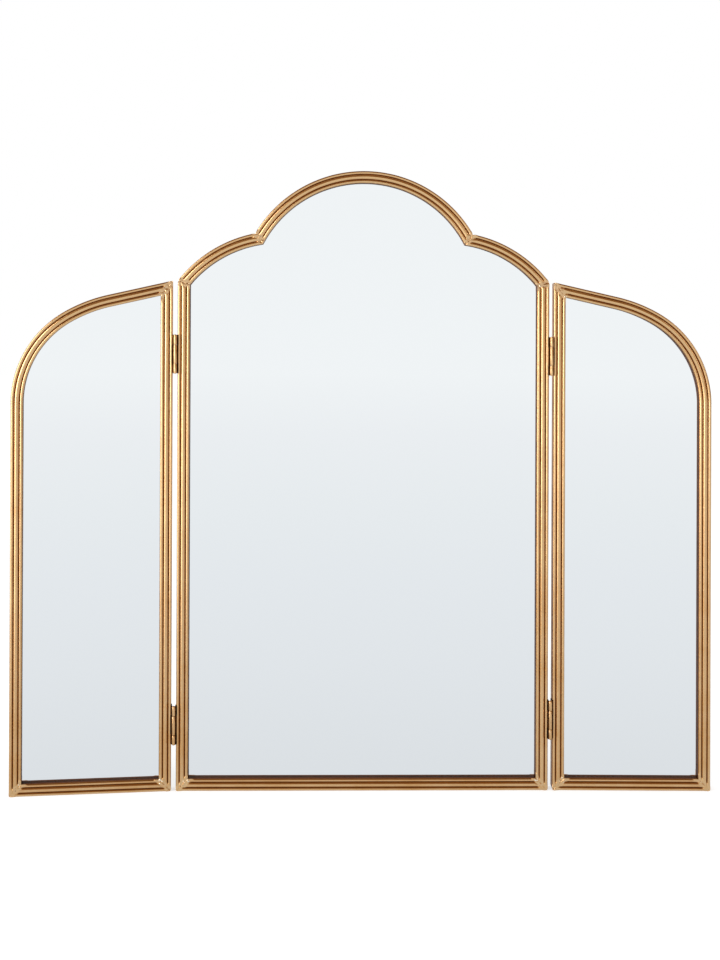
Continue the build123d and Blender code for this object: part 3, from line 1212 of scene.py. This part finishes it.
@dataclass
class WingFrame:
    """The frame of one wing, worked out on the right from the lower corner at its hinge side."""

    side: Side
    angle: float
    hinge_heights: dict[str, float]
    stile: float = 510.6 * MM
    width: float = 158.9 * MM
    slope: float = math.radians(12.9)
    slope_length: float = 66.0 * MM
    large_radius: float = 151.5 * MM
    turn_lean: float = math.radians(30.0)
    half_centre: float = 186.5 * MM
    axis_depth: float = -9.2 * MM
    hinge: ButtHinge = field(default_factory=ButtHinge)

    def __post_init__(self) -> None:
        """Work out the circles of the top."""
        heading = Vector((math.cos(self.slope), -math.sin(self.slope)))
        slope_end = Vector((0.0, self.stile)) + self.slope_length * heading
        below = Vector((math.sin(self.slope), math.cos(self.slope))) * self.large_radius
        self.large = Circle(slope_end - below, self.large_radius)
        turn_place = self.large.at(self.turn_lean)
        small = (self.width - turn_place.x) / (1.0 - math.sin(self.turn_lean))
        below = Vector((math.sin(self.turn_lean), math.cos(self.turn_lean))) * small
        self.small = Circle(turn_place - below, small)

    def peak(self, inset: float) -> Vector:
        """Top corner at the hinge side, drawn in by an inset."""
        drop = inset * math.tan(self.slope) + inset / math.cos(self.slope)
        return Vector((inset, self.stile - drop))

    def hinge_foot(self, inset: float) -> Vector:
        """Lower corner at the hinge side, drawn in by an inset."""
        return Vector((inset, inset))

    def outer_foot(self, inset: float) -> Vector:
        """Lower outer corner, drawn in by an inset."""
        return Vector((self.width - inset, inset))

    def axis_turn(self, angle: float) -> Matrix:
        """From the hinge's own frame to the part's.

        Args:
            angle: How far it is swung forward, in degrees.

        Returns:
            The transform.
        """
        place = Matrix.Translation((self.half_centre + self.hinge.gap / 2, self.axis_depth, 0.0))
        swung = place @ Matrix.Rotation(-math.radians(angle), 4, "Z")
        over = Matrix.Diagonal((float(self.side.sign), 1.0, 1.0, 1.0))
        return over @ swung

    def turn(self) -> Matrix:
        """From the wing's own frame to the part's, as it stands on the table."""
        return self.axis_turn(self.angle) @ Matrix.Translation((self.hinge.gap / 2, -self.axis_depth, 0.0))

    def lengths(self) -> list[Moulding]:
        """Every length of the wing's frame.

        Returns:
            The rail, the stile at the hinges, and the top and outer stile in one.
        """
        outer = [
            Straight(self.slope_length),
            Bend(self.large, self.slope, self.turn_lean),
            Bend(self.small, self.turn_lean, math.pi / 2),
            Straight(self.small.middle.y),
        ]
        slope_heading = Vector((math.cos(self.slope), -math.sin(self.slope)))
        return [
            Moulding("bottom_rail", self.outer_foot(0.0), Vector((-1.0, 0.0)), [Straight(self.width)],
                     [Mitre.at(self.outer_foot, (1.0, 1.0)), Mitre.at(self.hinge_foot, (-1.0, 1.0))]),
            Moulding("hinge_stile", self.hinge_foot(0.0), Vector((0.0, 1.0)), [Straight(self.stile)],
                     [Mitre.at(self.hinge_foot, (1.0, -1.0)), Mitre.at(self.peak, (0.0, 1.0))]),
            Moulding("outer_rail", self.peak(0.0), slope_heading, outer,
                     [Mitre.at(self.peak, (-1.0, 0.0)), Mitre.at(self.outer_foot, (-1.0, -1.0))]),
        ]

    def build(self) -> list[bpy.types.Object]:
        """Make the frame's pieces and hang them on the wing.

        Returns:
            The pieces.
        """
        body = f"{self.side.value}_wing"
        lengths = self.lengths()
        made = []
        for length in lengths:
            length.seed = 0.7 + 0.2 * self.side.sign
            made.append(hung(length.build(self.turn()), f"{body}_{length.name}", body, "gold_moulding"))
        mitres = [mitre for length in lengths for mitre in length.mitres]
        drops = SolderDrops(f"{body}_solder", mitres, [2, 6, 0, 1], 20 + self.side.sign).build(self.turn())
        made.append(hung(drops, "", body, "gold_moulding"))
        return made

    def hinges(self) -> list[bpy.types.Object]:
        """Make both hinges.

        Returns:
            The leaves, each on its own body.
        """
        made = []
        for level, height in self.hinge_heights.items():
            lift = Matrix.Translation((0.0, 0.0, height))
            name = f"{self.side.value}_{level}_hinge"
            still, swung = self.axis_turn(0.0) @ lift @ TURNED_OVER, self.axis_turn(self.angle) @ lift
            fixed = self.hinge.leaf_with(f"{name}_fixed", self.hinge.frame_spans(), still)
            moving = self.hinge.leaf_with(f"{name}_moving", self.hinge.wing_spans(), swung)
            made.append(hung(fixed, f"{name}_frame_leaf", "centre_panel", "gold_hinge"))
            made.append(hung(moving, f"{name}_wing_leaf", f"{self.side.value}_wing", "gold_hinge"))
        return made


@dataclass(frozen=True)
class Lamp:
    """One rectangular lamp: where it hangs, what it faces, its width and height, and its watts."""

    name: str
    place: tuple
    aim: tuple
    size: tuple
    power: float

    def hang(self) -> None:
        """Put the lamp into the scene."""
        data = bpy.data.lights.new(self.name, "AREA")
        data.shape = "RECTANGLE"
        data.size, data.size_y = self.size
        data.energy = self.power
        lamp = bpy.data.objects.new(self.name, data)
        toward = Vector(self.aim) - Vector(self.place)
        turn = toward.to_track_quat("-Z", "Y").to_matrix().to_4x4()
        lamp.matrix_world = Matrix.Translation(self.place) @ turn
        bpy.context.scene.collection.objects.link(lamp)


@dataclass
class Studio:
    """Camera, lamps, pale floor and white surroundings.

    Gloss sees other surroundings than the camera: pale in front, darker at the sides and above, and a
    floor that glows for gloss alone, darker near the mirror as painted shade and paling with distance,
    with a painted pool of window light on it low on the left. Rows of colour hold a place on a ramp,
    then red, green and blue.
    """

    camera_place: tuple = (-0.03829, -1.608, 0.470)
    yaw: float = 1.226
    pitch: float = -0.152
    roll: float = 0.234
    focal_pixels: float = 1596.4
    rise_pixels: float = -162.4
    image_height: float = 960.0
    sensor: float = 36.0
    far_clip: float = 100.0
    key: Lamp = Lamp("key", (-2.4, -1.6, 1.35), (0.0, 0.0, 0.45), (1.3, 2.4), 50.0)
    fill: Lamp = Lamp("fill", (2.3, -1.2, 1.5), (0.0, 0.0, 0.4), (0.35, 1.5), 4.0)
    soft_white: tuple = (0.86, 0.86, 0.86, 1.0)
    steep_span: tuple = (0.10, 0.42)
    floor_half: float = 12.0
    floor_paint: tuple = rgba(190, 190, 190)
    floor_lift: float = 0.62
    floor_fade: float = 1.6
    # A painted pool of light on the floor, seen only by gloss.
    window_light: tuple = (3.0, 2.85, 2.6, 1.0)
    window_near: tuple = (0.56, 0.85)
    window_front: tuple = (-0.50, -0.85)
    window_back: tuple = (-1.75, -1.35)
    round_horizon: tuple = (
        (0.0, 250, 250, 250),
        (0.10, 240, 236, 230),
        (0.17, 166, 134, 102),
        (0.26, 138, 104, 74),
        (0.33, 226, 222, 216),
        (0.43, 243, 246, 247),
        (0.56, 242, 245, 246),
        (0.61, 186, 156, 120),
        (0.70, 122, 88, 56),
        (0.80, 98, 66, 40),
        (0.90, 240, 236, 230),
        (1.0, 250, 250, 250),
    )
    down_to_up: tuple = (
        (0.0, 70, 48, 32),
        (0.5, 180, 160, 138),
        (0.70, 166, 134, 98),
        (0.86, 134, 98, 64),
        (1.0, 98, 68, 42),
    )
    # The floor's glow for gloss, darker near the mirror as painted shade.
    near_to_far: tuple = (
        (0.0, 221, 225, 228),
        (0.10, 223, 227, 230),
        (0.28, 227, 231, 234),
        (0.46, 230, 234, 237),
        (0.61, 233, 237, 239),
        (0.76, 237, 240, 242),
        (0.88, 242, 245, 246),
        (1.0, 243, 246, 247),
    )

    def camera(self) -> None:
        """Set the camera at the photograph's viewpoint."""
        data = bpy.data.cameras.new("view")
        data.sensor_width = self.sensor
        data.sensor_fit = "AUTO"
        data.lens = self.focal_pixels / self.image_height * self.sensor
        data.shift_y = self.rise_pixels / self.image_height
        data.clip_end = self.far_clip
        yaw, pitch, roll = (math.radians(angle) for angle in (self.yaw, self.pitch, self.roll))
        ahead = Vector((math.sin(yaw) * math.cos(pitch), math.cos(yaw) * math.cos(pitch), -math.sin(pitch)))
        level = Vector((math.cos(yaw), -math.sin(yaw), 0.0))
        above = level.cross(ahead)
        right = math.cos(roll) * level + math.sin(roll) * above
        up = -math.sin(roll) * level + math.cos(roll) * above
        turn = Matrix((right, up, -ahead)).transposed().to_4x4()
        camera = bpy.data.objects.new("view", data)
        camera.matrix_world = Matrix.Translation(self.camera_place) @ turn
        bpy.context.scene.collection.objects.link(camera)
        bpy.context.scene.camera = camera

    def surroundings(self) -> None:
        """Make the world: white for the camera, a room for gloss, soft white for the rest."""
        world = bpy.data.worlds.new("surroundings")
        world.use_nodes = True
        bpy.context.scene.world = world
        recipe = Recipe(world.node_tree)
        across = recipe.axis(recipe.node("ShaderNodeTexCoord", {}, {}, "Generated"), "X")
        climb = across.sibling("Z")
        bearing = across.bearing(-across.sibling("Y"))
        ring = recipe.ramp(bearing * (0.5 / math.pi) + 0.5, self.round_horizon)
        column = recipe.ramp(climb * 0.5 + 0.5, self.down_to_up)
        room = recipe.blend(recipe.spread(abs(climb), *self.steep_span), ring, column)
        seen = recipe.ray("Is Camera Ray")
        colour = recipe.blend(seen.sibling("Is Glossy Ray"), self.soft_white, room)
        colour = recipe.blend(seen, colour, WHITE)
        shader = recipe.node("ShaderNodeBackground", {}, {"Color": colour, "Strength": 1.0})
        recipe.finish(shader, "ShaderNodeOutputWorld")

    def floor_material(self) -> bpy.types.Material:
        """Paint the floor.

        Returns:
            The material: near white for the camera; for gloss, a glow darker near the mirror as painted
                shade, and a painted pool of light on the left.
        """
        recipe, material = Recipe.material("pale_floor")
        paint = recipe.node("ShaderNodeBsdfDiffuse", {}, {"Color": self.floor_paint})
        lit = recipe.node("ShaderNodeAddShader", {}, {0: paint, 1: recipe.glow(WHITE, self.floor_lift)})
        across = recipe.axis(recipe.place(), "X")
        away = -across.sibling("Y")
        far = away.at_least(0.0)
        shown = recipe.ramp(far / (far + self.floor_fade), self.near_to_far)
        # A painted pool of light glowing on the floor, for gloss only.
        bearing = across.bearing(away)
        beside = recipe.spread(bearing, *self.window_front) * recipe.spread(bearing, *self.window_back)
        beside = beside * recipe.spread(far, *self.window_near)
        sheen = recipe.glow(recipe.blend(beside, shown, self.window_light))
        camera = recipe.ray("Is Camera Ray")
        glossy = camera.sibling("Is Glossy Ray")
        other = recipe.node("ShaderNodeMixShader", {}, {0: glossy, 1: paint, 2: sheen})
        recipe.finish(recipe.node("ShaderNodeMixShader", {}, {0: camera, 1: other, 2: lit}))
        return material

    def floor(self) -> None:
        """Lay a plain pale floor that keeps the mirror's shadow."""
        mesh = bmesh.new()
        bmesh.ops.create_grid(mesh, x_segments=1, y_segments=1, size=self.floor_half)
        data = bpy.data.meshes.new("floor")
        mesh.to_mesh(data)
        mesh.free()
        data.materials.append(self.floor_material())
        floor = bpy.data.objects.new("floor", data)
        bpy.context.scene.collection.objects.link(floor)

    def build(self) -> None:
        """Set up the whole studio."""
        self.camera()
        self.key.hang()
        self.fill.hang()
        self.surroundings()
        self.floor()
        bpy.context.scene.view_settings.view_transform = "Standard"


@dataclass
class Finishes:
    """The material of each slot of the record, and of the solder beads."""

    by_slot: dict[str, bpy.types.Material] = field(default_factory=dict)
    solder: bpy.types.Material | None = None

    def build(self) -> None:
        """Make every material."""
        self.solder = BrightSolder().build()
        gold = GoldPaint().build()
        self.by_slot = {
            "gold_moulding": gold,
            "gold_hinge": gold,
            "hinge_pin": gold,
            "mirror_glass": MirrorSilver().build(),
            "backing_board": FibreBoard().build(),
            "tab_strip": BareSteel().build(),
        }

    def dress_pieces(self, pieces: list[bpy.types.Object]) -> None:
        """Give each new piece the material of its slot.

        Args:
            pieces: The new pieces.
        """
        for piece in pieces:
            solder = piece.name.endswith("_solder")
            piece.data.materials.append(self.solder if solder else self.by_slot[piece["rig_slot"]])
            LOG.info("built %s", piece.name)

    def dress_nodes(self) -> None:
        """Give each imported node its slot's material."""
        slot_of = {part["node"]: part["material_slot"] for part in frame["record"]["subparts"]}
        for name, node in frame["nodes"].items():
            node.data.materials.clear()
            node.data.materials.append(self.by_slot[slot_of[name]])
            LOG.info("dressed %s", name)


def main() -> None:
    """Build the looks in order."""
    logging.basicConfig(level=logging.INFO, format="%(name)s: %(message)s")
    finishes = Finishes()
    finishes.build()
    finishes.dress_nodes()
    finishes.dress_pieces(CentreFrame().build())
    wings = [
        WingFrame(Side.LEFT, 7.0, {"upper": 437.1 * MM, "lower": 66.0 * MM}),
        WingFrame(Side.RIGHT, 1.5, {"upper": 436.1 * MM, "lower": 71.0 * MM}),
    ]
    for wing in wings:
        finishes.dress_pieces(wing.build())
        finishes.dress_pieces(wing.hinges())
    Studio().build()


if __name__ == "__main__":
    main()
